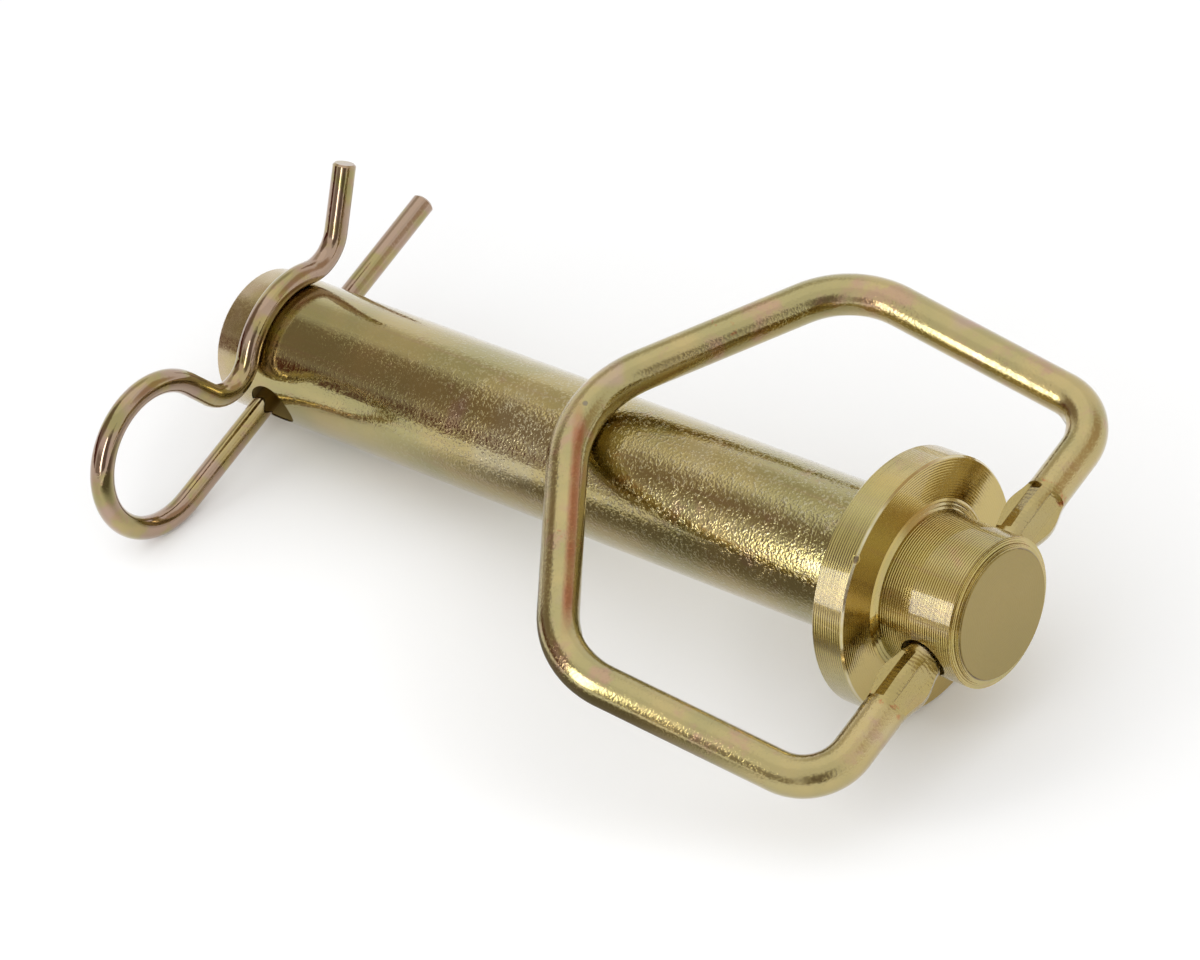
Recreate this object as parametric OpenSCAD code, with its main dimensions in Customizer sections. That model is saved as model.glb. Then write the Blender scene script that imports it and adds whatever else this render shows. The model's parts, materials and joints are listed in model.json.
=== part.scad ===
// Swivel hitch pin: a turned pin with a collar, a bent-rod handle that swings on the cross-drilled head,
// and a spring clip through the other end. It lies on its side, as it comes to rest on a bench.
// The origin is the middle of the seat, the back face of the collar. The head points along +X.

/* [Pin] */
// Diameter of the shank
shank_d = 25.4; // [22:0.1:28]
// Length of shank between the collar's seat and the near edge of the clip hole
usable_len = 127; // [100:1:180]
// Length of shank beyond the middle of the clip hole
tip_len = 12.5; // [9:0.5:20]
// Chamfer at the tip of the shank
tip_chamfer = 1; // [0.5:0.1:2]
// Diameter of the collar
collar_d = 44.4; // [40:0.1:50]
// Thickness of the collar
collar_h = 6.35; // [5:0.05:9]
// Chamfer on both edges of the collar
collar_edge = 0.35; // [0.2:0.05:0.6]
// Diameter of the head
head_d = 25.8; // [24:0.1:28]
// Length of the head beyond the collar
head_len = 15.4; // [14:0.1:20]
// Width of the chamfer round the end of the head
head_chamfer_w = 1.87; // [1:0.01:3]
// Depth of the chamfer round the end of the head
head_chamfer_h = 1.13; // [0.8:0.01:2]

/* [Turning marks] */
// Number of tool steps that the head's chamfer was turned in
chamfer_steps = 5; // [3:1:6]
// Number of fine rings left round the foot of the head
ring_count = 3; // [1:1:4]
// Distance between two of those rings
ring_pitch = 0.7; // [0.5:0.1:1]
// Height of those rings
ring_h = 0.25; // [0.1:0.05:0.4]

/* [Cross holes] */
// Diameter of the clip's hole
clip_hole_d = 9; // [8:0.1:11]
// Diameter of the handle's hole
axle_hole_d = 8.3; // [7.8:0.1:8.8]
// Distance of the handle's hole from the collar's front face
axle_rise = 8; // [7:0.1:9]

/* [Handle] */
// Diameter of the handle's rod
rod_d = 7.1; // [6:0.1:7.5]
// Half width of the handle at the axle, to the corner point of the rod's middle line
axle_half = 41.6; // [38:0.1:50]
// Half width of the handle at the shoulders, to the corner point of the rod's middle line
shoulder_half = 43.5; // [38:0.1:50]
// Distance of the shoulders from the axle
shoulder_h = 51.6; // [45:0.1:60]
// Distance of the handle's peak from the axle, to the corner point of the rod's middle line
peak_h = 79.8; // [75:0.1:90]
// Bend radius at the axle corners
corner_bend = 8.8; // [8:0.1:12]
// Bend radius at the shoulders
shoulder_bend = 17; // [12:0.5:20]
// Bend radius at the peak
peak_bend = 20; // [14:0.5:24]
// Depth of the mark that the bending former leaves inside each bend
former_mark = 0.3; // [0.1:0.05:0.4]
// Gap between the rod's two ends, inside the head
end_gap = 1; // [0.5:0.1:2]

/* [Crimps] */
// Distance of each crimp's start from the middle of the head
crimp_start = 13; // [13:0.1:14]
// Length of each crimp
crimp_len = 11; // [8:0.5:12]
// Largest diameter across the crimp's ribs
crimp_d = 9; // [8.9:0.1:9.5]
// Distance of the punched flats from the middle of the rod
flat_depth = 2.7; // [2.4:0.1:2.9]
// Width of each punched flat
flat_w = 2.6; // [2:0.1:3]
// Length of the punch
punch_len = 10; // [7:0.5:11]
// Turn of the ribs about the rod
crimp_turn = 13.6; // [0:0.1:45]

/* [Clip] */
// Diameter of the clip's wire
wire_d = 4.2; // [3.5:0.1:4.5]
// Reach of the straight leg beyond the middle of the shank
leg_reach = 36.4; // [30:0.1:45]
// Bend radius of the eye
eye_bend = 13.3; // [12:0.1:15]
// Angle that the eye turns through
eye_turn = 248; // [244:1:252]
// Bend radius of the dip before the shank
dip_bend = 6.2; // [5:0.1:8]
// Angle that the dip turns through
dip_turn = 112; // [108:1:116]
// Angle that the hump over the shank turns through
hump_turn = 78; // [70:1:84]
// Bend radius of the flare after the shank
flare_bend = 7; // [5:0.1:9]
// Angle that the flare turns through
flare_turn = 81; // [70:1:90]
// Length of the straight end after the flare
flare_len = 12.5; // [8:0.5:16]
// Tilt of the clip about the shank, from its play in the hole
clip_tilt = 1.9; // [1.5:0.1:2]
// Chamfer on the wire's cut ends
wire_chamfer = 0.35; // [0.1:0.05:0.5]

/* [Hidden] */
$fn = 96;

yellow_zinc = [0.65, 0.6, 0.36];
yellow_zinc_wire = [0.7, 0.6, 0.4];

// Gap left between the handle's peak and the shank that it rests on
handle_gap = 0.1;
// Gap left between the clip and the pin where they touch
clip_gap = 0.05;
// Gap left between the clip's leg and the wall of its hole
leg_gap = 0.15;
// Size of the bending former against the inside radius of the bend
former_ratio = 0.6;
// Amount by which a straight stretch of rod is thinner in radius than its bends
joint_step = 0.01;
// Length by which a straight stretch laps into each bend
joint_lap = 0.1;
// Length of straight wire between two bends that follow each other
link_run = 0.4;
// Number of bands in the swelling of a crimp
swell_bands = 12;
// Length by which a drill or a former passes through the metal
overrun = 2;

shank_r = shank_d / 2;
collar_r = collar_d / 2;
head_r = head_d / 2;
rod_r = rod_d / 2;
axle_r = rod_r - joint_step;
wire_r = wire_d / 2;
clip_hole_x = -usable_len - clip_hole_d / 2;
tip_x = clip_hole_x - tip_len;
head_end = collar_h + head_len;
axle_x = collar_h + axle_rise;

// The handle's bends, from the corner points of its middle line
corner_turn = atan2(shoulder_h, shoulder_half - axle_half);
roof_slope = atan2(peak_h - shoulder_h, shoulder_half);
shoulder_turn = 180 - roof_slope - corner_turn;
peak_turn = 2 * roof_slope;
corner_cut = corner_bend * tan(corner_turn / 2);
shoulder_cut = shoulder_bend * tan(shoulder_turn / 2);
peak_cut = peak_bend * tan(peak_turn / 2);
axle_end = axle_half - corner_cut;
side_run = norm([shoulder_half - axle_half, shoulder_h]) - corner_cut - shoulder_cut;
roof_run = norm([shoulder_half, peak_h - shoulder_h]) - shoulder_cut - peak_cut;
peak_reach = peak_h - peak_bend * (1 / cos(peak_turn / 2) - 1);
// Slope of the handle when its peak rests on the shank
handle_lean = asin((shank_r + rod_r + handle_gap) / peak_reach);

// The clip's neck and eye, placed so that the hump is centred on the shank
hump_bend = shank_r + wire_r + clip_gap;
neck_dir = 180 - eye_turn;
hump_dir = neck_dir + dip_turn;
dip_rise = (hump_bend + dip_bend) * cos(hump_dir) - link_run * sin(hump_dir);
neck_run = (dip_rise - (eye_bend + dip_bend) * cos(neck_dir) - eye_bend) / sin(neck_dir);
dip_y = -(hump_bend + dip_bend) * sin(hump_dir) - link_run * cos(hump_dir);
eye_y = dip_y + (eye_bend + dip_bend) * sin(neck_dir) - neck_run * cos(neck_dir);
clip_x = clip_hole_x - (clip_hole_d / 2 - wire_r - leg_gap);

// The pin lies on the collar's edge, the edge of its tip and the clip's eye
rest_pitch = atan((collar_r - shank_r) / (collar_edge - tip_x - tip_chamfer));
eye_mid_y = eye_y * cos(clip_tilt) - eye_bend * sin(clip_tilt);
eye_mid_z = eye_y * sin(clip_tilt) + eye_bend * cos(clip_tilt);
eye_drop = eye_bend - collar_r + (wire_r + (collar_edge - clip_x) * sin(rest_pitch)) / cos(rest_pitch);
rest_roll = atan2(eye_mid_y, eye_mid_z) + acos(eye_drop / norm([eye_mid_y, eye_mid_z]));

// Half section of the pin, as [radius, distance along the pin]
shank_outline = [[0, tip_x], [shank_r - tip_chamfer, tip_x], [shank_r, tip_x + tip_chamfer], [shank_r, 0]];
collar_outline = [
    [collar_r - collar_edge, 0],
    [collar_r, collar_edge],
    [collar_r, collar_h - collar_edge],
    [collar_r - collar_edge, collar_h],
];
ring_outline = [
    for (i = [ring_count:-1:1], crest = [0, 1])
        [head_r + (i - crest / 2) * ring_pitch, collar_h + crest * ring_h]
];
chamfer_outline = [
    for (i = [1:chamfer_steps], rise = [-1, 0])
        [head_r - i * head_chamfer_w / chamfer_steps,
         head_end - head_chamfer_h + (i + rise) * head_chamfer_h / chamfer_steps]
];
head_outline = concat([[head_r, collar_h], [head_r, head_end - head_chamfer_h]], chamfer_outline, [[0, head_end]]);

// Half section of a crimped end of the rod before it is punched, as [radius, distance from the head's middle]
swell_outline = [
    for (i = [0:swell_bands])
        [axle_r + (crimp_d / 2 - axle_r) * (1 - cos(360 * i / swell_bands)) / 2,
         crimp_start + crimp_len * i / swell_bands]
];
axle_outline = concat(
    [[0, end_gap / 2], [axle_r, end_gap / 2]],
    swell_outline,
    [[axle_r, axle_end + joint_lap], [0, axle_end + joint_lap]]
);

// Section of the punch, which leaves parallel-sided ribs between neighbouring flats
punch_outline = [
    [-flat_w / 2, flat_depth],
    [flat_w / 2, flat_depth],
    [flat_w / 2 + crimp_d, flat_depth + crimp_d],
    [-flat_w / 2 - crimp_d, flat_depth + crimp_d],
];

// Each step of a bent rod is [straight length, turn, bend radius], and a positive turn is to the left
handle_steps = [
    [0, corner_turn, corner_bend],
    [side_run, shoulder_turn, shoulder_bend],
    [roof_run, peak_turn, peak_bend],
    [roof_run, shoulder_turn, shoulder_bend],
    [side_run, corner_turn, corner_bend],
];
clip_steps = [
    [leg_reach - wire_chamfer - eye_y, -eye_turn, eye_bend],
    [neck_run, dip_turn, dip_bend],
    [link_run, -hump_turn, hump_bend],
    [link_run, flare_turn, flare_bend],
];

// Places what is drawn along the pin as it lies on the bench
module as_it_lies() {
    rotate([0, -rest_pitch, 0]) rotate([rest_roll, 0, 0]) children();
}

// A hole right through the pin, across it
module cross_hole(x, d) {
    translate([x, 0, 0]) rotate([90, 0, 0]) cylinder(d = d, h = shank_d + head_d, center = true);
}

// A straight stretch of rod along X, a hair thinner than its bends, which it laps into at both ends
module straight(run, r, back = joint_lap, ahead = joint_lap) {
    translate([-back, 0, 0]) rotate([0, 90, 0]) cylinder(r = r - joint_step, h = run + back + ahead);
}

// One bend of a rod about the origin, where the rod comes in along X, with the former's mark on its inner side
module elbow(turn, bend_r, r, mark) {
    former_r = former_ratio * (bend_r - r);
    mirror([0, min(sign(turn), 0), 0]) difference() {
        rotate([0, 0, -90]) rotate_extrude(angle = abs(turn)) translate([bend_r, 0]) rotate(-90) circle(r);
        if (mark > 0)
            rotate([0, 0, abs(turn) / 2 - 90]) translate([bend_r - r + mark - former_r, 0, 0])
                cylinder(r = former_r, h = 2 * (r + overrun), center = true);
    }
}

// A round rod that starts at the origin along X and follows the steps, with what is drawn on its end
module bent_rod(steps, r, mark = 0, first = 0) {
    if (first < len(steps)) {
        run = steps[first][0];
        turn = steps[first][1];
        bend_r = steps[first][2];
        offset_y = sign(turn) * bend_r;
        if (run > 0) straight(run, r, back = first > 0 ? joint_lap : 0);
        translate([run, offset_y, 0]) {
            elbow(turn, bend_r, r, mark);
            rotate([0, 0, turn]) translate([0, -offset_y, 0])
                bent_rod(steps, r, mark, first + 1) children();
        }
    } else {
        children();
    }
}

// The punch that leaves one flat, square to Z, with rounded ends
module punch() {
    intersection() {
        rotate([90, 0, 90]) linear_extrude(punch_len + overrun, center = true) polygon(punch_outline);
        cylinder(d = punch_len, h = crimp_d);
    }
}

// One end of the handle's rod along X: it swells beside the head and is punched flat on four sides
module crimped_end() {
    difference() {
        rotate([0, 90, 0]) rotate_extrude() polygon(axle_outline);
        for (quarter = [0:3])
            translate([crimp_start + crimp_len / 2, 0, 0])
                rotate([crimp_turn + 45 + quarter * 90, 0, 0]) punch();
    }
}

// A cut end of the wire along X, from its chamfer inwards
module cut_end() {
    end_r = wire_r - joint_step;
    rotate([0, 90, 0]) cylinder(r1 = end_r - wire_chamfer, r2 = end_r, h = wire_chamfer);
}

module pin() {
    color(yellow_zinc) as_it_lies() difference() {
        rotate([0, 90, 0]) rotate_extrude()
            polygon(concat(shank_outline, collar_outline, ring_outline, head_outline));
        cross_hole(clip_hole_x, clip_hole_d);
        cross_hole(axle_x, axle_hole_d);
    }
}

module handle() {
    color(yellow_zinc) as_it_lies() translate([axle_x, 0, 0]) rotate([0, handle_lean, 0]) rotate([0, 0, 90]) {
        crimped_end();
        translate([axle_end, 0, 0]) bent_rod(handle_steps, rod_r, former_mark)
            translate([axle_end, 0, 0]) mirror([1, 0, 0]) crimped_end();
    }
}

module clip() {
    color(yellow_zinc_wire) as_it_lies() translate([clip_x, 0, 0]) rotate([clip_tilt, 0, 0])
        rotate([90, 0, 90]) translate([leg_reach, 0, 0]) rotate([0, 0, 180]) {
            cut_end();
            translate([wire_chamfer, 0, 0]) bent_rod(clip_steps, wire_r) {
                straight(flare_len - wire_chamfer, wire_r, ahead = 0);
                translate([flare_len, 0, 0]) mirror([1, 0, 0]) cut_end();
            }
        }
}

pin();
handle();
clip();
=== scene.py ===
import bpy
import json
from math import atan2, cos, pi, radians, sin
from types import SimpleNamespace
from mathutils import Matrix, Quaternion, Vector


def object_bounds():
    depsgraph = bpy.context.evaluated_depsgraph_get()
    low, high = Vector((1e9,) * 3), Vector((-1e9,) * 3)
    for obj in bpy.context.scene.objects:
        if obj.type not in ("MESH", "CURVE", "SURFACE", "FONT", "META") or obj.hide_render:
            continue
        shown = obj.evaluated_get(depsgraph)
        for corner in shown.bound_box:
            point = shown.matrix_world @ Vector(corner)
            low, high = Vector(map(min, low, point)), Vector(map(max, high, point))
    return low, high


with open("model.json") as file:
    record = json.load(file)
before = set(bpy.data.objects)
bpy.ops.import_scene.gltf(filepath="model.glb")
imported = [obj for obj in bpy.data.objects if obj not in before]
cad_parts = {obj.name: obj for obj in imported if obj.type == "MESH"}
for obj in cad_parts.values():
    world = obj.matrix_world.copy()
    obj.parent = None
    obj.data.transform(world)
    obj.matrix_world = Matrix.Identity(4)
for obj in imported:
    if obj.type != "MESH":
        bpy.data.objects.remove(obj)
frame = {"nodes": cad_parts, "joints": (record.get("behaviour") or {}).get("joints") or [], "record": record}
cadLow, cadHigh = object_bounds()

mm = 0.001
mounts = {mount["name"]: mount for mount in frame["record"]["mounts"]}
swing = {joint["name"]: joint for joint in frame["joints"]}["handle_swing"]
pinDir = Vector(mounts["head_end"]["axis"])       # along the pin, from tip to head
headEnd = Vector(mounts["head_end"]["pos_m"]).length
pinPitch = atan2(pinDir.z, pinDir.x)
floorHeight = cadLow.z


# yellow zinc plating, shared by the three pieces
plating = {
    "olive": (0.36, 0.325, 0.125),
    "gold": (0.46, 0.375, 0.145),
    "copper": (0.42, 0.27, 0.165),
    "pale": (0.49, 0.465, 0.31),
    "rose": (0.43, 0.305, 0.24),
    "silver": (0.66, 0.63, 0.52),
    "goldClouds": (0.38, 0.62),      # levels of the clouds between which olive turns to gold
    "paleClouds": (0.56, 0.72),
    "copperStreaks": (0.62, 0.78),   # less the piece's own share
    "roseBloom": (0.66, 0.80),       # less the piece's own share
    "most": {"copper": 0.75, "rose": 0.8, "pale": 0.5},    # how far each one covers the gold
    "grainLevels": (0.3, 0.7),
    "wearLevels": (0.35, 0.65),
    "peakLevels": (0.52, 0.68),      # grain between these stands up as a bright crystal
    "peakHeight": 0.3,
    "pebbleHeight": 0.3,
    "pebbleSmoothness": 0.6,
    "grainHeight": 0.5,
    "filmWeight": 0.7,
    "filmRoughness": 0.07,
    "filmIor": 1.55,
}


def newMaterial(name):
    material = bpy.data.materials.new(name)
    material.use_nodes = True
    tree = material.node_tree
    return material, tree, tree.nodes["Principled BSDF"]


def platedMaterial(name):
    material, tree, shader = newMaterial(name)
    shader.inputs["Metallic"].default_value = 1.0
    shader.inputs["Coat Weight"].default_value = plating["filmWeight"]    # the clear chromate film
    shader.inputs["Coat Roughness"].default_value = plating["filmRoughness"]
    shader.inputs["Coat IOR"].default_value = plating["filmIor"]
    return material, tree, shader


# each of these adds one node or a few and returns the output to read

def connect(tree, source, target):
    tree.links.new(source, target)


def mathNode(tree, operation, first, second=0.0):
    node = tree.nodes.new("ShaderNodeMath")
    node.operation = operation
    for socket, value in zip(node.inputs, (first, second)):
        if isinstance(value, (int, float)):
            socket.default_value = value
        else:
            connect(tree, value, socket)
    return node.outputs[0]


def times(tree, first, second):
    return mathNode(tree, "MULTIPLY", first, second)


def plus(tree, first, second):
    return mathNode(tree, "ADD", first, second)


def vectorNode(tree, operation, first, second=None):
    node = tree.nodes.new("ShaderNodeVectorMath")
    node.operation = operation
    connect(tree, first, node.inputs[0])
    if second is not None:
        node.inputs[1].default_value = second
    return node.outputs["Value" if operation in ("DISTANCE", "DOT_PRODUCT", "LENGTH") else "Vector"]


def fade(tree, value, start, end, low=0.0, high=1.0):
    # smooth step from low at start to high at end
    node = tree.nodes.new("ShaderNodeMapRange")
    node.interpolation_type = "SMOOTHSTEP"
    connect(tree, value, node.inputs["Value"])
    node.inputs["From Min"].default_value = start
    node.inputs["From Max"].default_value = end
    node.inputs["To Min"].default_value = low
    node.inputs["To Max"].default_value = high
    return node.outputs["Result"]


def fadeOut(tree, value, start, end):
    return fade(tree, value, start, end, 1.0, 0.0)


def band(tree, value, start, end, soft):
    # 1 between start and end, 0 outside
    return times(tree, fade(tree, value, start - soft, start + soft),
                 fadeOut(tree, value, end - soft, end + soft))


def mixColor(tree, amount, first, second, blend="MIX"):
    node = tree.nodes.new("ShaderNodeMix")
    node.data_type = "RGBA"
    node.blend_type = blend
    for name, value in (("Factor", amount), ("A", first), ("B", second)):
        socket = node.inputs[name]
        if isinstance(value, (int, float)):
            socket.default_value = value
        elif isinstance(value, tuple):
            socket.default_value = (*value, 1.0)
        else:
            connect(tree, value, socket)
    return node.outputs["Result"]


def noise(tree, vector, size, detail=2.0, roughness=0.5, seed=0.0):
    # size is the width of one feature, in metres
    node = tree.nodes.new("ShaderNodeTexNoise")
    node.noise_dimensions = "4D"
    node.inputs["W"].default_value = seed
    node.inputs["Scale"].default_value = 1.0 / size
    node.inputs["Detail"].default_value = detail
    node.inputs["Roughness"].default_value = roughness
    connect(tree, vector, node.inputs["Vector"])
    return node.outputs["Fac"]


def pebbles(tree, vector, size):
    # rounded crystals of the plating, each a shallow dome
    node = tree.nodes.new("ShaderNodeTexVoronoi")
    node.feature = "SMOOTH_F1"
    node.inputs["Scale"].default_value = 1.0 / size
    node.inputs["Smoothness"].default_value = plating["pebbleSmoothness"]
    connect(tree, vector, node.inputs["Vector"])
    return node.outputs["Distance"]


def stretched(tree, vector, scale, rotation=(0.0, 0.0, 0.0)):
    node = tree.nodes.new("ShaderNodeMapping")
    node.inputs["Rotation"].default_value = rotation
    node.inputs["Scale"].default_value = scale
    connect(tree, vector, node.inputs["Vector"])
    return node.outputs["Vector"]


def splitAxes(tree, vector):
    node = tree.nodes.new("ShaderNodeSeparateXYZ")
    connect(tree, vector, node.inputs[0])
    return node.outputs


def objectPlace(tree):
    return tree.nodes.new("ShaderNodeTexCoord").outputs["Object"]


def bump(tree, height, depth, after=None):
    # depth is the real height of the relief, in metres
    node = tree.nodes.new("ShaderNodeBump")
    node.inputs["Strength"].default_value = 1.0
    node.inputs["Distance"].default_value = depth
    connect(tree, height, node.inputs["Height"])
    if after is not None:
        connect(tree, after, node.inputs["Normal"])
    return node.outputs["Normal"]


def markNear(tree, place, spot, size):
    # 1 close to one spot on the surface, fading out at size
    return fadeOut(tree, vectorNode(tree, "DISTANCE", place, spot), 0.45 * size, size)


def lineNear(tree, place, start, end, width):
    # 1 along a straight line on the surface, fading out at width and towards its ends
    run = Vector(end) - Vector(start)
    reach = vectorNode(tree, "SUBTRACT", place, start)
    beside = vectorNode(tree, "CROSS_PRODUCT", reach, run.normalized())
    along = vectorNode(tree, "DOT_PRODUCT", reach, run.normalized())
    endFade = 0.1 * run.length
    return times(tree, fadeOut(tree, vectorNode(tree, "LENGTH", beside), 0.3 * width, width),
                 band(tree, along, endFade, run.length - endFade, endFade))


def crystalHeight(tree, place, finish, grain, peaks):
    # low pebbles everywhere, with a few crystals that stand up from them
    domes = times(tree, pebbles(tree, place, finish["pebbleSize"]), plating["pebbleHeight"])
    low = plus(tree, domes, times(tree, grain, plating["grainHeight"]))
    return plus(tree, low, times(tree, peaks, plating["peakHeight"]))


def platingColor(tree, place, finish, seed):
    # soft clouds from olive to gold, with copper streaks and a pale or rose bloom
    clouds = noise(tree, place, finish["cloudSize"], 3.0, 0.55, seed)
    streaks = noise(tree, place, finish["cloudSize"] / 3, 4.0, 0.6, seed + 3.0)
    bloom = noise(tree, place, finish["cloudSize"] * 0.6, 2.0, 0.5, seed + 6.0)
    copperLevels = [level - finish["copperShare"] for level in plating["copperStreaks"]]
    roseLevels = [level - finish["roseShare"] for level in plating["roseBloom"]]
    goldCover = fade(tree, clouds, *plating["goldClouds"])
    color = mixColor(tree, goldCover, plating["olive"], plating["gold"])
    for pattern, levels, name in (
            (streaks, copperLevels, "copper"),
            (bloom, roseLevels, "rose"),
            (clouds, plating["paleClouds"], "pale")):
        cover = fade(tree, pattern, *levels, 0.0, plating["most"][name])
        color = mixColor(tree, cover, color, plating[name])
    return mixColor(tree, 1.0, color, finish["tint"], "MULTIPLY")


# pin: drawn shank, turned collar and head
pinFinish = {
    "tint": (1.02, 0.98, 0.98),
    "turnedTint": (1.16, 1.13, 1.02),
    "faceColor": (0.54, 0.40, 0.115),
    "faceShare": 0.7,
    "endColor": (0.27, 0.19, 0.03),
    "endShare": 0.85,
    # the collar's pale front edge is partly worn plating and partly a painted highlight along its chamfer
    "edgeWearAndHighlight": (0.72, 0.65, 0.48),
    "edgeWearAndHighlightShare": (0.15, 0.75),       # from bare patches to covered ones
    "boreColor": (0.60, 0.46, 0.17),
    "boreMetallic": 0.6,
    "boreRoughness": 0.22,
    # dark colour of the ring on the end face, also used as the painted shade in the nick
    "burrRingAndNickShade": (0.12, 0.07, 0.03),
    "burrShare": (0.25, 0.85),
    "tipColor": (0.62, 0.50, 0.36),
    "tipShare": 0.9,
    "wornTip": 0.25,
    "copperShare": 0.04,
    "drawnCopper": 0.35,
    "roseShare": 0.0,
    "silverShare": 0.28,
    "cloudSize": 22 * mm,
    "shankRoughness": 0.14,
    "roughSpread": (-0.04, 0.06),
    "smoothRoughness": 0.11,
    "tipRoughness": 0.13,
    "faceRoughness": 0.3,
    "turnedRoughness": 0.02,
    "headGrain": 0.22,
    "turnedGrain": 0.03,
    "pebbleSize": 0.5 * mm,
    "grainSize": 0.45 * mm,
    "pebbleDepth": 0.11 * mm,
    "smoothGrain": 0.22,
    "smoothEnd": -130 * mm,          # smooth from the tip to here
    "roughEnd": -60 * mm,            # fully pebbled from here to the collar
    "wearSize": 9 * mm,
    "wornRelief": 0.35,              # relief left where the plating is worn
    "patchLevels": (0.4, 0.6),
    "drawnSize": 1.6 * mm,
    "drawnStretch": 0.03,
    "drawnDepth": 0.02 * mm,
    "collarRadius": 22.2 * mm,
    "collarThickness": 6.35 * mm,
    "collarGrooves": 0.28,
    "headRadius": 12.9 * mm,
    "footWidth": 1.5 * mm,           # rounded foot of the head
    "endGrooves": 0.12,
    "tipGrooves": 0.5,
    "groovePitch": 0.46 * mm,
    "grooveDepth": 0.03 * mm,
    "grooveWobble": 0.4 * mm,
    "wobbleSize": 14 * mm,
    "fineGrooveSize": 0.9 * mm,
    "fineGrooves": 2.0,
    "burrRadius": 10.9 * mm,
    "burrWidth": 0.35 * mm,
    "nickSpot": (5.3 * mm, -15.35 * mm, 16.3 * mm),
    "nickSize": 0.9 * mm,
    "nickDepth": 0.25 * mm,
    "nickShade": 0.8,
    "boreDepth": 12.3 * mm,
    "tipEnd": -143.2 * mm,
    "tipFade": 8 * mm,
    "tipFace": -144.46 * mm,
    "tipSatin": (6 * mm, 14 * mm),   # the tip's satin fades out between these, past its end
    "collarBack": (-0.3 * mm, -0.05 * mm),
    "faceSkin": (0.05 * mm, 0.15 * mm),
    "edgeSkin": 0.45 * mm,
}


def pinZones(tree):
    # where each part of the pin is, from the distance x along its axis and the radius from it
    finish = pinFinish
    place = objectPlace(tree)
    along = stretched(tree, place, (1, 1, 1), (0.0, pinPitch, 0.0))    # X runs along the pin
    x, y, z = splitAxes(tree, along)
    radius = mathNode(tree, "SQRT", plus(tree, times(tree, y, y), times(tree, z, z)))
    turned = fade(tree, x, *finish["collarBack"])    # collar and head
    skin, deeper = finish["faceSkin"]
    endFace = fade(tree, x, headEnd - deeper, headEnd - skin)
    tipFace = fadeOut(tree, x, finish["tipFace"] + skin, finish["tipFace"] + deeper)
    faceRing = band(tree, radius, finish["headRadius"] + finish["footWidth"],
                    finish["collarRadius"] - 0.4 * mm, 0.1 * mm)
    nearHead = fadeOut(tree, radius, finish["headRadius"] + 0.3 * mm,
                       finish["headRadius"] + 1.2 * mm)
    headSide = times(tree, mathNode(tree, "SUBTRACT", turned, endFace), nearHead)
    edgeRing = times(tree, fade(tree, radius, finish["collarRadius"] - finish["edgeSkin"],
                                finish["collarRadius"] - 0.25 * mm),
                     fade(tree, x, finish["collarThickness"] - finish["edgeSkin"],
                          finish["collarThickness"] - 0.2 * mm))
    burrRing = times(tree, band(tree, radius, finish["burrRadius"],
                                finish["burrRadius"] + finish["burrWidth"], 0.05 * mm),
                     fade(tree, x, headEnd - 0.5 * mm, headEnd - 0.3 * mm))
    bore = times(tree, fadeOut(tree, radius, finish["boreDepth"], finish["boreDepth"] + 0.2 * mm),
                 band(tree, x, finish["tipEnd"], headEnd - 1.5 * mm, 0.1 * mm))
    return SimpleNamespace(
        place=place, along=along, x=x, radius=radius,
        shank=mathNode(tree, "SUBTRACT", 1.0, turned), tipFace=tipFace, bore=bore,
        turned=turned, collarFace=times(tree, faceRing, turned), edgeRing=edgeRing,
        headSide=headSide, endFace=endFace, burrRing=burrRing,
        nick=markNear(tree, place, finish["nickSpot"], finish["nickSize"]))


def pinTexture(tree, zone):
    # patterns that the relief, the color and the gloss share
    finish = pinFinish
    grain = noise(tree, zone.place, finish["grainSize"], 1.0, 0.5, 2.0)
    return SimpleNamespace(
        grain=grain, peaks=fade(tree, grain, *plating["peakLevels"]),
        worn=noise(tree, zone.place, finish["wearSize"], 3.0, 0.6, 5.0),
        lengthwise=noise(tree, stretched(tree, zone.along, (finish["drawnStretch"], 1, 1)),
                         finish["drawnSize"], 3.0, 0.6, 1.0))


def pinRelief(tree, zone, texture):
    finish = pinFinish
    # drawn bar: pebbled plating over faint lengthwise lines
    crystals = times(tree, crystalHeight(tree, zone.place, finish, texture.grain, texture.peaks),
                     fade(tree, texture.worn, *plating["wearLevels"], finish["wornRelief"], 1.0))
    crystals = times(tree, crystals, fade(tree, zone.x, finish["smoothEnd"], finish["roughEnd"],
                                          finish["smoothGrain"], 1.0))
    grainShare = plus(tree, times(tree, zone.headSide, finish["headGrain"]),
                      plus(tree, zone.shank, finish["turnedGrain"]))
    relief = bump(tree, times(tree, crystals, grainShare), finish["pebbleDepth"])
    relief = bump(tree, times(tree, texture.lengthwise, zone.shank), finish["drawnDepth"], relief)

    # lathe marks follow the distance along the pin on its sides and the radius on its faces
    wobble = times(tree, noise(tree, zone.along, finish["wobbleSize"], 1.0, 0.5, 7.0),
                   finish["grooveWobble"])
    travel = plus(tree, plus(tree, zone.x, zone.radius), wobble)
    grooves = mathNode(tree, "SINE", times(tree, travel, 2 * pi / finish["groovePitch"]))
    fineGrooves = noise(tree, stretched(tree, zone.along, (1, 0.0, 0.0)), finish["fineGrooveSize"],
                        3.0, 0.7, 9.0)
    endShare = fade(tree, zone.endFace, 0.0, 1.0, 1.0, finish["endGrooves"])
    share = plus(tree, times(tree, zone.tipFace, finish["tipGrooves"]),
                 times(tree, zone.turned, endShare))
    height = plus(tree, grooves, times(tree, fineGrooves, finish["fineGrooves"]))
    collarShare = fade(tree, zone.collarFace, 0.0, 1.0, 1.0, finish["collarGrooves"])
    height = times(tree, times(tree, height, share), collarShare)
    relief = bump(tree, height, finish["grooveDepth"], relief)
    return bump(tree, zone.nick, -finish["nickDepth"], relief)


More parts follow.
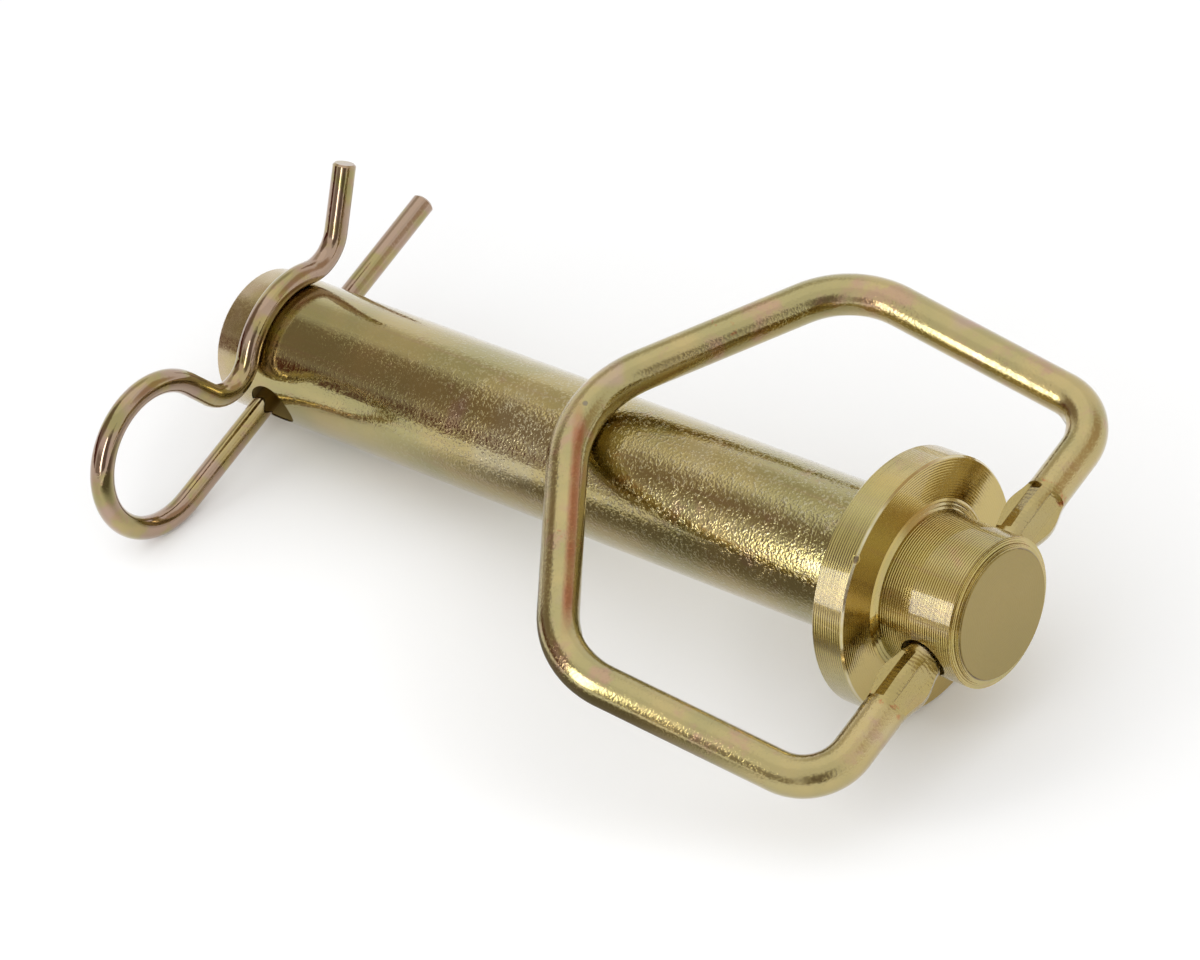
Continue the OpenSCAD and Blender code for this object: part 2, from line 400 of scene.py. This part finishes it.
def pinColor(tree, zone, texture):
    finish = pinFinish
    color = platingColor(tree, zone.place, finish, 11.0)
    shine = times(tree, texture.peaks, fade(tree, zone.x, finish["smoothEnd"], finish["roughEnd"],
                                            0.0, finish["silverShare"]))
    color = mixColor(tree, times(tree, shine, zone.shank), color, plating["silver"])
    color = mixColor(tree, zone.turned, color, finish["turnedTint"], "MULTIPLY")
    drawnLines = times(tree, fade(tree, texture.lengthwise, 0.5, 0.75), finish["drawnCopper"])
    nearTip = fade(tree, zone.x, finish["tipEnd"], finish["tipEnd"] + finish["tipFade"],
                   finish["tipShare"], 0.0)
    tipPatches = fade(tree, texture.worn, *plating["wearLevels"], finish["wornTip"], 1.0)
    edgePatches = fade(tree, texture.worn, *finish["patchLevels"], *finish["edgeWearAndHighlightShare"])
    burrPatches = fade(tree, texture.worn, *finish["patchLevels"], *finish["burrShare"])
    for amount, layer in (
            (drawnLines, plating["copper"]),
            (times(tree, nearTip, tipPatches), finish["tipColor"]),
            (times(tree, zone.collarFace, finish["faceShare"]), finish["faceColor"]),
            # pale front edge of the collar: wear and a painted highlight
            (times(tree, zone.edgeRing, edgePatches), finish["edgeWearAndHighlight"]),
            (times(tree, zone.burrRing, burrPatches), finish["burrRingAndNickShade"]),
            (times(tree, zone.endFace, finish["endShare"]), finish["endColor"]),
            (zone.bore, finish["boreColor"]),
            # painted shade in the nick
            (times(tree, zone.nick, finish["nickShade"]), finish["burrRingAndNickShade"])):
        color = mixColor(tree, amount, color, layer)
    return color


def pinRoughness(tree, zone, texture):
    finish = pinFinish
    shank = finish["shankRoughness"]
    low, high = (shank + spread for spread in finish["roughSpread"])
    rough = fade(tree, texture.grain, *plating["grainLevels"], low, high)
    satinStart, satinEnd = finish["tipSatin"]
    for extra in (
            times(tree, zone.endFace, finish["faceRoughness"] - shank),
            fade(tree, zone.x, finish["smoothEnd"], finish["roughEnd"],
                 finish["smoothRoughness"] - shank, 0.0),
            fade(tree, zone.x, finish["tipEnd"] + satinStart, finish["tipEnd"] + satinEnd,
                 finish["tipRoughness"], 0.0),
            times(tree, zone.turned, finish["turnedRoughness"]),
            times(tree, plus(tree, zone.bore, zone.tipFace), finish["boreRoughness"])):
        rough = plus(tree, rough, extra)
    return rough


def pinMaterial():
    material, tree, shader = platedMaterial("yellowZincTurned")
    zone = pinZones(tree)
    texture = pinTexture(tree, zone)
    connect(tree, pinRelief(tree, zone, texture), shader.inputs["Normal"])
    connect(tree, pinColor(tree, zone, texture), shader.inputs["Base Color"])
    connect(tree, pinRoughness(tree, zone, texture), shader.inputs["Roughness"])
    metallic = fade(tree, zone.bore, 0.0, 1.0, 1.0, pinFinish["boreMetallic"])
    connect(tree, metallic, shader.inputs["Metallic"])    # dull inside the cross holes
    return material


# handle: bent rod, satin plating with copper streaks and a brown streak that is a painted reflection
handleFinish = {
    "tint": (1.04, 0.98, 1.04),
    "roughness": 0.19,
    "roughSpread": (-0.03, 0.05),
    "copperShare": 0.10,
    "roseShare": 0.02,
    "cloudSize": 18 * mm,
    "wearSize": 8 * mm,
    "wornRelief": 0.3,
    "grainSize": 0.42 * mm,
    "pebbleSize": 0.5 * mm,
    "pebbleDepth": 0.055 * mm,
    "crimpStart": 12.9 * mm,         # along the axle, from the middle of the head
    "crimpEnd": 24.3 * mm,
    "crimpColor": (0.37, 0.285, 0.085),
    "crimpShare": 0.7,
    "ripplePitch": 0.75 * mm,
    "rippleDepth": 0.011 * mm,
    "rippleWobble": 1.6 * mm,
    "wobbleSize": 2.5 * mm,
    "rustColor": (0.42, 0.16, 0.05),
    "rustLevels": (0.56, 0.64),
    "rustSize": 1.3 * mm,
    "rustShare": 0.75,
    # painted reflection of dark surroundings: a brown streak along the inner side of one bar
    "reflectionStreakStart": (-62.4 * mm, -4.2 * mm, 15.1 * mm),
    "reflectionStreakEnd": (-33.8 * mm, -44.5 * mm, -0.6 * mm),
    "reflectionStreakWidth": 1.4 * mm,
    "reflectionStreakColor": (0.38, 0.145, 0.06),
    "reflectionStreakShare": (0.5, 0.9),
    "reflectionStreakPatches": 5 * mm,
    "dentSpot": (-59.6 * mm, -6.3 * mm, 14.7 * mm),
    "dentSize": 0.6 * mm,
    "dentDepth": 0.1 * mm,
    # painted shade inside the dent
    "dentShade": (0.16, 0.13, 0.11),
    "dentShadeShare": 0.7,
}


def crimpDetail(tree, place, relief, color):
    # ripples that the punch leaves across the ribs, and a rusty line in each corner
    finish = handleFinish
    reach = vectorNode(tree, "SUBTRACT", place, swing["pos_m"])
    distance = mathNode(tree, "ABSOLUTE", vectorNode(tree, "DOT_PRODUCT", reach, swing["axis"]))
    crimped = times(tree, band(tree, distance, finish["crimpStart"], finish["crimpEnd"], 0.5 * mm),
                    fadeOut(tree, vectorNode(tree, "LENGTH", reach),
                            finish["crimpEnd"] + 2 * mm, finish["crimpEnd"] + 4 * mm))
    wobble = noise(tree, place, finish["wobbleSize"], 2.0, 0.5, 61.0)
    travel = plus(tree, distance, times(tree, wobble, finish["rippleWobble"]))
    ripples = mathNode(tree, "SINE", times(tree, travel, 2 * pi / finish["ripplePitch"]))
    relief = bump(tree, times(tree, ripples, crimped), finish["rippleDepth"], relief)
    color = mixColor(tree, times(tree, crimped, finish["crimpShare"]), color, finish["crimpColor"])
    spots = noise(tree, place, finish["rustSize"], 3.0, 0.6, 64.0)
    rust = times(tree, fade(tree, spots, *finish["rustLevels"]),
                 band(tree, distance, finish["crimpEnd"] - 1.6 * mm,
                      finish["crimpEnd"] + 0.4 * mm, 0.3 * mm))
    color = mixColor(tree, times(tree, rust, finish["rustShare"]), color, finish["rustColor"])
    return relief, color


def reflectionStreakAndDent(tree, place, relief, color):
    # a painted reflection of dark surroundings as a brown streak on the inner side of one bar, and a small
    # dent near the peak with painted shade in it
    finish = handleFinish
    # the brown streak is a painted reflection
    patches = noise(tree, place, finish["reflectionStreakPatches"], 3.0, 0.6, 66.0)
    uneven = fade(tree, patches, 0.35, 0.6, *finish["reflectionStreakShare"])
    line = lineNear(tree, place, finish["reflectionStreakStart"], finish["reflectionStreakEnd"], finish["reflectionStreakWidth"])
    color = mixColor(tree, times(tree, uneven, line), color, finish["reflectionStreakColor"])
    dent = markNear(tree, place, finish["dentSpot"], finish["dentSize"])
    relief = bump(tree, dent, -finish["dentDepth"], relief)
    # painted shade in the dent
    color = mixColor(tree, times(tree, dent, finish["dentShadeShare"]), color, finish["dentShade"])
    return relief, color


# clip: smooth spring wire, brighter and more copper
clipFinish = {
    "tint": (0.86, 0.80, 0.78),
    "roughness": 0.08,
    "roughSpread": (-0.03, 0.05),
    "copperShare": 0.12,
    "roseShare": 0.24,
    "cloudSize": 9 * mm,
    "wearSize": 8 * mm,
    "wornRelief": 0.3,
    "grainSize": 0.8 * mm,
    "pebbleSize": 0.5 * mm,
    "pebbleDepth": 0.02 * mm,
}


def rodMaterial(name, finish, seed, details=()):
    material, tree, shader = platedMaterial(name)
    place = objectPlace(tree)
    grain = noise(tree, place, finish["grainSize"], 1.0, 0.5, seed)
    worn = noise(tree, place, finish["wearSize"], 3.0, 0.6, seed + 1.0)
    peaks = fade(tree, grain, *plating["peakLevels"])
    crystals = times(tree, crystalHeight(tree, place, finish, grain, peaks),
                     fade(tree, worn, *plating["wearLevels"], finish["wornRelief"], 1.0))
    relief = bump(tree, crystals, finish["pebbleDepth"])
    color = platingColor(tree, place, finish, seed + 2.0)
    for addDetail in details:
        relief, color = addDetail(tree, place, relief, color)
    connect(tree, relief, shader.inputs["Normal"])
    connect(tree, color, shader.inputs["Base Color"])
    low, high = (finish["roughness"] + spread for spread in finish["roughSpread"])
    rough = fade(tree, grain, *plating["grainLevels"], low, high)
    connect(tree, rough, shader.inputs["Roughness"])
    return material


finishing = {
    "weldDistance": 0.002 * mm,
    "sharpAngle": radians(28),       # edges sharper than this stay crisp
}


def dress(node, material):
    piece = frame["nodes"][node]
    piece.data.materials.clear()
    piece.data.materials.append(material)
    piece.data.shade_smooth()
    weld = piece.modifiers.new("joinFaces", "WELD")
    weld.merge_threshold = finishing["weldDistance"]
    split = piece.modifiers.new("sharpEdges", "EDGE_SPLIT")
    split.split_angle = finishing["sharpAngle"]
    print(node, "finished")


dress("pin", pinMaterial())
dress("handle", rodMaterial("yellowZincSatin", handleFinish, 20.0, (crimpDetail, reflectionStreakAndDent)))
dress("clip", rodMaterial("yellowZincWire", clipFinish, 40.0))


# floor, light and camera
studio = {
    "floorSize": 6.0,
    "floorCells": 160,
    "floorMiddle": 0.35,             # half width of the part with small cells
    "floorSpread": 9,                # how fast the cells widen past it
    "floorColor": (0.93, 0.93, 0.93),
    "floorRoughness": 0.9,
    "floorShine": 0.1,
    "floorLift": 0.07,               # glow that the camera and the reflections see
    "worldStrength": 1.0,
    "middle": Vector((-60, 0, 0)) * mm,
    "cardSoftness": 0.14,
}

# room below the clip when it is pulled out, and below the handle when it is swung right round
hollows = (
    {"x": -132 * mm, "y": -97 * mm, "radius": 54 * mm, "depth": 18 * mm},
    {"x": -44 * mm, "y": -26 * mm, "radius": 54 * mm, "depth": 9 * mm},
)

# dark cards that only show in the reflections, each turned to the middle or lying on the floor; the one on
# the floor is painted shade on the floor near the object
flags = {
    "leftFlag": {"azimuths": (-98, -22), "elevations": (-46, 34), "distance": 0.8,
                 "shade": (0.12, 0.035, 0.018)},
    "leftUpperFlag": {"azimuths": (-112, -20), "elevations": (10, 60), "distance": 0.9,
                      "shade": (0.31, 0.245, 0.195)},
    "cameraFlag": {"azimuths": (22, 70), "elevations": (-30, 60), "distance": 1.3,
                   "shade": (0.24, 0.20, 0.17)},
    "frontFlag": {"azimuths": (-42, 36), "elevations": (-24, 36), "distance": 0.95,
                  "shade": (0.40, 0.35, 0.31)},
    "backUpperFlag": {"azimuths": (-146, -90), "elevations": (22, 62), "distance": 1.0,
                      "shade": (0.66, 0.62, 0.54)},
    # painted shade on the floor near the object, seen only in reflections
    "paintedFloorShadeFlag": {"xRange": (-125 * mm, 5 * mm), "yRange": (-140 * mm, 0.0), "lift": 0.5 * mm,
                "shade": (0.20, 0.175, 0.14)},
    "rightFlag": {"azimuths": (92, 172), "elevations": (0, 62), "distance": 1.1,
                  "shade": (0.62, 0.50, 0.38)},
}

# brightness 1 is as bright as the white surroundings
lamps = {
    "keyLight": {"azimuth": -40, "elevation": 14, "distance": 0.2, "width": 0.05, "height": 0.1,
                 "brightness": 5.5, "aim": Vector((44, 0, 0)) * mm},
    "topLight": {"azimuth": -120, "elevation": 76, "distance": 0.9, "width": 0.9, "height": 0.9,
                 "brightness": 0.16, "aim": studio["middle"]},
}

view = {
    "aim": Vector((-59.7, -5.2, -2.5)) * mm,
    "distance": 970 * mm,
    "azimuth": 44.96,
    "elevation": 38.2,
    "roll": -7.75,
    "lens": 172.67,
    "sensor": 36.0,
    "clip": (0.01, 50),
}


def hollowDepth(hollow, x, y):
    reach = ((x - hollow["x"]) ** 2 + (y - hollow["y"]) ** 2) / hollow["radius"] ** 2
    return hollow["depth"] * max(0.0, 1.0 - reach) ** 2


def floorMaterial():
    material, tree, shader = newMaterial("paleFloor")
    shader.inputs["Base Color"].default_value = (*studio["floorColor"], 1.0)
    shader.inputs["Roughness"].default_value = studio["floorRoughness"]
    shader.inputs["Specular IOR Level"].default_value = studio["floorShine"]
    rays = tree.nodes.new("ShaderNodeLightPath").outputs
    seen = mathNode(tree, "MAXIMUM", rays["Is Camera Ray"],
                    mathNode(tree, "MAXIMUM", rays["Is Glossy Ray"], rays["Is Transmission Ray"]))
    shader.inputs["Emission Color"].default_value = (1, 1, 1, 1)
    connect(tree, times(tree, seen, studio["floorLift"]), shader.inputs["Emission Strength"])
    return material


def makeFloor():
    bpy.ops.object.select_all(action="DESELECT")
    cells = studio["floorCells"]
    bpy.ops.mesh.primitive_grid_add(x_subdivisions=cells, y_subdivisions=cells, size=2.0)
    floor = bpy.context.object
    floor.name = "floor"
    # the cells are small near the object and wide towards the edge
    centre = studio["floorMiddle"]
    edge = studio["floorSize"] / 2 - centre
    for vertex in floor.data.vertices:
        x, y = (centre * u + edge * u ** studio["floorSpread"] for u in vertex.co.xy)
        vertex.co = (x, y, floorHeight - sum(hollowDepth(hollow, x, y) for hollow in hollows))
    floor.data.shade_smooth()
    floor.data.materials.append(floorMaterial())


def direction(azimuth, elevation):
    # azimuth 0 is towards -Y and 90 towards +X, as the camera's
    a, e = radians(azimuth), radians(elevation)
    return Vector((sin(a) * cos(e), -cos(a) * cos(e), sin(e)))


def makeLamp(name, lamp):
    data = bpy.data.lights.new(name, "AREA")
    data.shape = "ELLIPSE"
    data.size = lamp["width"]
    data.size_y = lamp["height"]
    data.energy = lamp["brightness"] * pi * (pi / 4 * lamp["width"] * lamp["height"])
    light = bpy.data.objects.new(name, data)
    bpy.context.scene.collection.objects.link(light)
    towards = direction(lamp["azimuth"], lamp["elevation"])
    light.location = lamp["aim"] + towards * lamp["distance"]
    light.rotation_mode = "QUATERNION"
    light.rotation_quaternion = towards.to_track_quat("Z", "Y")


def cardMaterial(name, shade):
    material, tree, shader = newMaterial(name)
    shader.inputs["Base Color"].default_value = (0, 0, 0, 1)
    shader.inputs["Specular IOR Level"].default_value = 0.0
    shader.inputs["Emission Color"].default_value = (*shade, 1.0)
    shader.inputs["Emission Strength"].default_value = 1.0
    x, y, _ = splitAxes(tree, objectPlace(tree))
    soft = studio["cardSoftness"]
    reach = 0.5 - soft
    cover = times(tree, band(tree, x, -reach, reach, soft), band(tree, y, -reach, reach, soft))
    connect(tree, cover, shader.inputs["Alpha"])    # its edges fade out
    return material


def makeCard(name, place, turn, size, shade):
    bpy.ops.object.select_all(action="DESELECT")
    bpy.ops.mesh.primitive_plane_add(size=1.0, location=place)
    card = bpy.context.object
    card.name = name
    card.scale = (*size, 1.0)
    card.rotation_mode = "QUATERNION"
    card.rotation_quaternion = turn
    card.data.materials.append(cardMaterial(name, shade))
    card.visible_camera = False
    card.visible_shadow = False
    card.visible_diffuse = False


def makeFlag(name, flag):
    if "xRange" in flag:
        (x0, x1), (y0, y1) = flag["xRange"], flag["yRange"]
        place = Vector(((x0 + x1) / 2, (y0 + y1) / 2, floorHeight + flag["lift"]))
        makeCard(name, place, Quaternion(), (x1 - x0, y1 - y0), flag["shade"])
        return
    (left, right), (low, high) = flag["azimuths"], flag["elevations"]
    middle = (low + high) / 2
    width = 2 * flag["distance"] * sin(radians(right - left) / 2) * cos(radians(middle))
    height = 2 * flag["distance"] * sin(radians(high - low) / 2)
    towards = direction((left + right) / 2, middle)
    makeCard(name, studio["middle"] + towards * flag["distance"], towards.to_track_quat("Z", "Y"),
             (width, height), flag["shade"])


def makeWorld():
    world = bpy.data.worlds.new("studioWorld")
    world.use_nodes = True
    background = world.node_tree.nodes["Background"]
    background.inputs["Color"].default_value = (1, 1, 1, 1)
    background.inputs["Strength"].default_value = studio["worldStrength"]
    bpy.context.scene.world = world


def makeCamera():
    data = bpy.data.cameras.new("camera")
    data.lens = view["lens"]
    data.sensor_width = view["sensor"]
    data.clip_start, data.clip_end = view["clip"]
    camera = bpy.data.objects.new("camera", data)
    bpy.context.scene.collection.objects.link(camera)
    back = direction(view["azimuth"], view["elevation"])
    camera.location = view["aim"] + back * view["distance"]
    camera.rotation_mode = "QUATERNION"
    roll = Quaternion((0, 0, 1), radians(view["roll"]))
    camera.rotation_quaternion = (-back).to_track_quat("-Z", "Y") @ roll
    bpy.context.scene.camera = camera


makeFloor()
makeWorld()
for name, flag in flags.items():
    makeFlag(name, flag)
for name, lamp in lamps.items():
    makeLamp(name, lamp)
makeCamera()
bpy.context.scene.view_settings.view_transform = "Standard"
print("studio ready")
